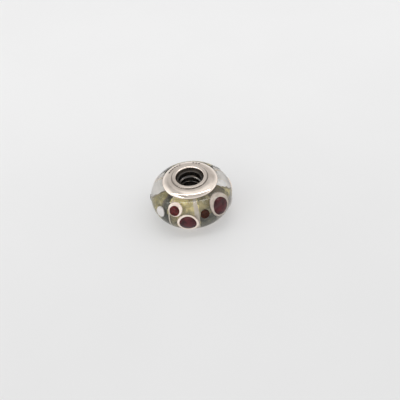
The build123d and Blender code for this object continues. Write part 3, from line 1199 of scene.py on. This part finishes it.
@dataclass
class Dots:
    """The raised dots of molten glass: large and small ringed ones, and plain ones."""

    eyes: tuple[tuple[Spot, Spot], ...] = (
        (Spot(-9.3, -5.7, 1.78), Spot(-9.1, -1.6, 1.43)),
        (Spot(44.1, 23.4, 2.01), Spot(43.0, 20.0, 1.55)),
        (Spot(108.0, -18.5, 1.90), Spot(108.0, -16.5, 1.47)),
        (Spot(156.0, -5.0, 1.92), Spot(156.5, -7.0, 1.50)),
        (Spot(-128.0, -8.5, 1.90), Spot(-128.4, -6.5, 1.50)),
    )
    reds: tuple[tuple[Spot, Spot], ...] = (
        (Spot(-28.4, 35.7, 1.24), Spot(-28.5, 32.0, 0.91)),
        (Spot(-173.0, -6.0, 1.24), Spot(-174.0, -8.6, 0.91)),
    )
    darks: tuple[Spot, ...] = (
        Spot(16.4, 18.8, 0.78), Spot(133.0, 13.0, 0.78), Spot(-99.0, -12.0, 0.76),
    )
    whites: tuple[Spot, ...] = (
        Spot(-52.7, 10.6, 0.93), Spot(78.0, -28.0, 0.91), Spot(-152.0, 17.0, 0.89),
    )
    # Eye rings that take the darker copy of the ivory glass: painted shade.
    shaded_rings: tuple[tuple[str, int], ...] = (("eye", 2), ("eye", 4))
    base_raise: float = 0.18
    base_crown: float = 0.02
    centre_rim: float = 0.19
    centre_crown: float = 0.10
    rounding: float = 0.17
    centre_rounding: float = 0.04
    foot_edge: float = 0.04
    depth: float = 0.14
    out_of_round: float = 0.02
    lobes: tuple[Wave, ...] = ((2.0, 1.9, 1.0), (3.0, 0.7, 0.4))
    lens_seed: int = 3
    plain_seed: int = 5
    round_parts: int = 72
    drape_steps: int = 8

    def button(
        self, radius: float, height: float, rounding: float, crown: float, seed: int
    ) -> bmesh.types.BMesh:
        """Make a dot laid flat: z is its height above the glass.

        Args:
            radius: Its radius.
            height: Its height at the rim's shoulder.
            rounding: Radius of the shoulder.
            crown: How much higher its middle is.
            seed: Turns its small unevenness.

        Returns:
            The dot.
        """
        section = Section(0, -self.depth).line(radius - self.foot_edge, -self.depth, parts=5)
        section.line(radius, -self.depth + self.foot_edge)
        section.line(radius, height - rounding, parts=2)
        section.arc(radius - rounding, height - rounding, 90, parts=10)
        mesh = section.line(0, height, parts=12).turned(self.round_parts)
        for vert in mesh.verts:
            across = math.hypot(vert.co.x, vert.co.y) / MM
            angle = math.atan2(vert.co.y, vert.co.x)
            if vert.co.z > 0:
                vert.co.z += crown * MM * (1 - (across / radius) ** 2)
            vert.co.xy *= 1 + self.out_of_round * ripple(angle, seed, self.lobes) * across / radius
        return mesh

    def drape(self, mesh: bmesh.types.BMesh, spot: Spot) -> bmesh.types.BMesh:
        """Lay a flat dot on the round of the glass, along its own axis.

        Args:
            mesh: The dot.
            spot: Where it goes.

        Returns:
            The same dot, in its place.
        """
        azimuth, latitude = math.radians(spot.azimuth), math.radians(spot.latitude)
        outward = Vector((math.sin(azimuth), -math.cos(azimuth), 0))
        normal = outward * math.cos(latitude) + Vector((0, 0, math.sin(latitude)))
        east = Vector((math.cos(azimuth), math.sin(azimuth), 0))
        north = normal.cross(east)
        middle = outward * BELLY_CENTRE + normal * BELLY_RADIUS
        for vert in mesh.verts:
            height = vert.co.z / MM
            point = middle + (east * vert.co.x + north * vert.co.y) / MM
            for _ in range(self.drape_steps):
                across = math.hypot(point.x, point.y) - BELLY_CENTRE
                point -= normal * (math.hypot(across, point.z) - BELLY_RADIUS - height)
            vert.co = point * MM
        return mesh

    def base(self, spot: Spot, seed: int) -> bmesh.types.BMesh:
        """Make a plain dot, or the ring's dot of a ringed one, in its place."""
        button = self.button(spot.radius, self.base_raise, self.rounding, self.base_crown, seed)
        return self.drape(button, spot)

    def lens(self, spot: Spot, seed: int) -> bmesh.types.BMesh:
        """Make the dot in a ringed one's middle, in its place."""
        button = self.button(spot.radius, self.centre_rim, self.centre_rounding, self.centre_crown, seed)
        return self.drape(button, spot)

    def build(self) -> None:
        """Build every dot."""
        white, ivory, shaded_ivory, maroon, red, dark = (
            finish.material() for finish in (WHITE, RING, SHADED_RING, MAROON, RED, DARK_RED)
        )
        for kind, pairs, centre_look, slot in (
            ("eye", self.eyes, maroon, "maroon_glass"),
            ("red", self.reds, red, "red_glass"),
        ):
            for number, (base, centre) in enumerate(pairs, 1):
                look = shaded_ivory if (kind, number) in self.shaded_rings else ivory
                ring = finished(self.base(base, number), f"{kind}_ring_{number}", look)
                seated(ring, "white_glass", [f"{kind}_base_{number}"])
                lens = self.lens(centre, number + self.lens_seed)
                lens = finished(lens, f"{kind}_lens_{number}", centre_look)
                seated(lens, slot, [f"{kind}_centre_{number}"])
        for kind, spots, look, slot in (
            ("dark_dot", self.darks, dark, "dark_red_glass"),
            ("white_dot", self.whites, white, "white_glass"),
        ):
            for number, spot in enumerate(spots, 1):
                dot = self.base(spot, number + self.plain_seed)
                dot = finished(dot, f"raised_{kind}_{number}", look)
                seated(dot, slot, [f"{kind}_{number}"])


@dataclass(frozen=True)
class Sky:
    """Soft white tent round the bead: its brightness by the angle up from the front and over to the back."""

    bands: tuple[Span, ...] = (
        (0.0, 1.1), (20.0, 1.1), (29.0, 0.85), (41.0, 0.62), (56.0, 0.55), (66.0, 0.5), (82.0, 0.92),
        (105.0, 0.98), (118.0, 0.85), (129.0, 0.62), (140.0, 0.52), (155.0, 0.6), (180.0, 0.9),
    )
    side: float = 0.95
    left: float = 1.08
    right: float = 0.95
    low_front: float = 0.5
    left_shade: float = 0.45
    aside: Span = (0.55, 0.95)
    across: Span = (-0.9, 0.9)
    low_levels: Span = (0.16, 0.38)
    low_depths: Span = (-0.3, 0.5)
    shade_sides: Span = (-0.40, -0.10)
    shade_levels: Span = (0.5, 0.75)

    def world(self) -> bpy.types.World:
        """Build the world.

        Returns:
            The world, whose light is even enough to need few samples.
        """
        world = bpy.data.worlds.new("tent")
        world.use_nodes = True
        nodes = Nodes(world.node_tree)
        towards = nodes.add("ShaderNodeTexCoord").outputs["Generated"]
        x, y, z = nodes.add("ShaderNodeSeparateXYZ", {0: towards}).outputs
        angle = nodes.sum("ARCTAN2", z, nodes.sum("MULTIPLY", y, -1.0))
        top = max(level for _, level in self.bands)
        stops = [(degrees / 180, (level / top,) * 3 + (1.0,)) for degrees, level in self.bands]
        band = nodes.ramp(nodes.sum("MULTIPLY", angle, 1 / math.pi), stops, "EASE").outputs[0]
        aside = nodes.between(nodes.sum("ABSOLUTE", x), *self.aside)
        colour = nodes.blend(aside, band, (self.side / top,) * 3)
        start, end = self.across
        sides = {0: x, 1: start, 2: end, 3: self.left * top, 4: self.right * top}
        level = nodes.add("ShaderNodeMapRange", sides).outputs[0]
        low = nodes.both(
            nodes.between(z, *self.low_levels, self.low_front, 0.0),
            nodes.fading(y, *self.low_depths),
        )
        level = nodes.sum("MULTIPLY_ADD", level, low, level)
        shade = nodes.both(
            nodes.between(x, *self.shade_sides, self.left_shade, 0.0), nodes.between(z, *self.shade_levels)
        )
        level = nodes.both(level, nodes.sum("SUBTRACT", 1.0, shade))
        shader = nodes.add("ShaderNodeBackground", {0: colour, 1: level})
        nodes.add("ShaderNodeOutputWorld", {0: shader.outputs[0]})
        return world


@dataclass(frozen=True)
class SoftBox:
    """A large soft lamp, placed round the bead and turned towards it."""

    name: str
    azimuth: float
    elevation: float
    distance: float
    width: float
    height: float
    radiance: float

    def hang(self) -> bpy.types.Object:
        """Hang the lamp.

        Returns:
            The lamp. Its distance and sides are in metres.
        """
        data = bpy.data.lights.new(self.name, "AREA")
        data.shape = "RECTANGLE"
        data.size, data.size_y = self.width, self.height
        data.energy = self.radiance * math.pi * self.width * self.height
        lamp = linked(self.name, data)
        away = direction(self.azimuth, self.elevation)
        lamp.location = away * self.distance + Vector((0, 0, MIDDLE * MM))
        lamp.rotation_euler = away.to_track_quat("Z", "Y").to_euler()
        return lamp


def direction(azimuth: float, elevation: float) -> Vector:
    """Direction from the bead, by degrees round from the front towards +X and up from the level."""
    turn, rise = math.radians(azimuth), math.radians(elevation)
    return Vector((math.sin(turn) * math.cos(rise), -math.cos(turn) * math.cos(rise), math.sin(rise)))


@dataclass
class Studio:
    """The pale floor, the soft light and the camera."""

    floor_side: float = 3.0
    floor_colour: Colour = (0.58, 0.58, 0.58)
    floor_mist: Colour = (0.57, 0.57, 0.57)
    mist: Grain = Grain(0.05, 2.0, NOISE_SPREAD)
    floor_reach: Span = (-45.0, 60.0)
    floor_glow: Span = (0.225, 0.32)
    floor_roughness: float = 0.6
    floor_gloss: float = 0.2
    lamps: tuple[SoftBox, ...] = (
        SoftBox("strip", 0.0, 76.5, 0.50, 1.70, 0.045, 4.4),
        SoftBox("left front softbox", -52.0, 34.0, 0.50, 0.26, 0.07, 3.0),
    )
    camera_elevation: float = 42.1
    camera_roll: float = 6.31
    camera_distance: float = 160.5
    lens: float = 85.0
    clip: Span = (0.01, 10.0)
    frame_pixels: float = 400.0
    bead_pixel: Span = (191.5, 194.3)

    def floor(self) -> None:
        """Lay the floor under the bead: white acrylic, faintly lit from below so that shadows stay light."""
        mesh = bmesh.new()
        bmesh.ops.create_grid(mesh, x_segments=1, y_segments=1, size=self.floor_side / 2)
        data = bpy.data.meshes.new("floor")
        mesh.to_mesh(data)
        mesh.free()
        graph = Graph("white acrylic")
        colour = graph.blend(graph.grain(self.mist), self.floor_colour, self.floor_mist)
        glow = graph.between(graph.y, *self.floor_reach, *self.floor_glow)
        data.materials.append(graph.shade({
            "Base Color": colour, "Roughness": self.floor_roughness, "Specular IOR Level": self.floor_gloss,
            "Emission Color": (1.0, 1.0, 1.0, 1.0), "Emission Strength": glow,
        }))
        linked("floor", data)

    def camera(self) -> None:
        """Set the camera at the angle, distance and tilt of the view."""
        data = bpy.data.cameras.new("camera")
        data.lens = self.lens
        data.clip_start, data.clip_end = self.clip
        camera = linked("camera", data)
        back = direction(0.0, self.camera_elevation)
        level_right, level_up = Vector((1, 0, 0)), back.cross(Vector((1, 0, 0)))
        roll = math.radians(self.camera_roll)
        up = level_up * math.cos(roll) + level_right * math.sin(roll)
        right = up.cross(back)
        camera.location = back * self.camera_distance * MM + Vector((0, 0, MIDDLE * MM))
        pixel = data.sensor_width / data.lens / self.frame_pixels
        side = (self.frame_pixels / 2 - self.bead_pixel[0]) * pixel
        drop = (self.frame_pixels / 2 - self.bead_pixel[1]) * pixel
        view = (-back + right * side - up * drop).normalized()
        right = view.cross(up).normalized()
        camera.rotation_euler = Matrix((right, right.cross(view), -view)).transposed().to_euler()
        bpy.context.scene.camera = camera

    def build(self) -> None:
        """Set up the whole studio."""
        self.floor()
        bpy.context.scene.world = Sky().world()
        for lamp in self.lamps:
            lamp.hang()
        self.camera()
        bpy.context.scene.view_settings.view_transform = "Standard"


def main() -> None:
    """Build the bead and the studio."""
    logging.basicConfig(level=logging.INFO, format="%(message)s")
    silver = PolishedSilver().material()
    core = SilverCore()
    core.tube(silver)
    core.sleeve(DarkenedSilver().material())
    oxide = BlackOxide().material()
    for end in End:
        EndCap(end).build(silver, oxide)
    GlassBody().build(ClearGlass(), FoilGlass(), PALE)
    Dots().build()
    Studio().build()


if __name__ == "__main__":
    main()
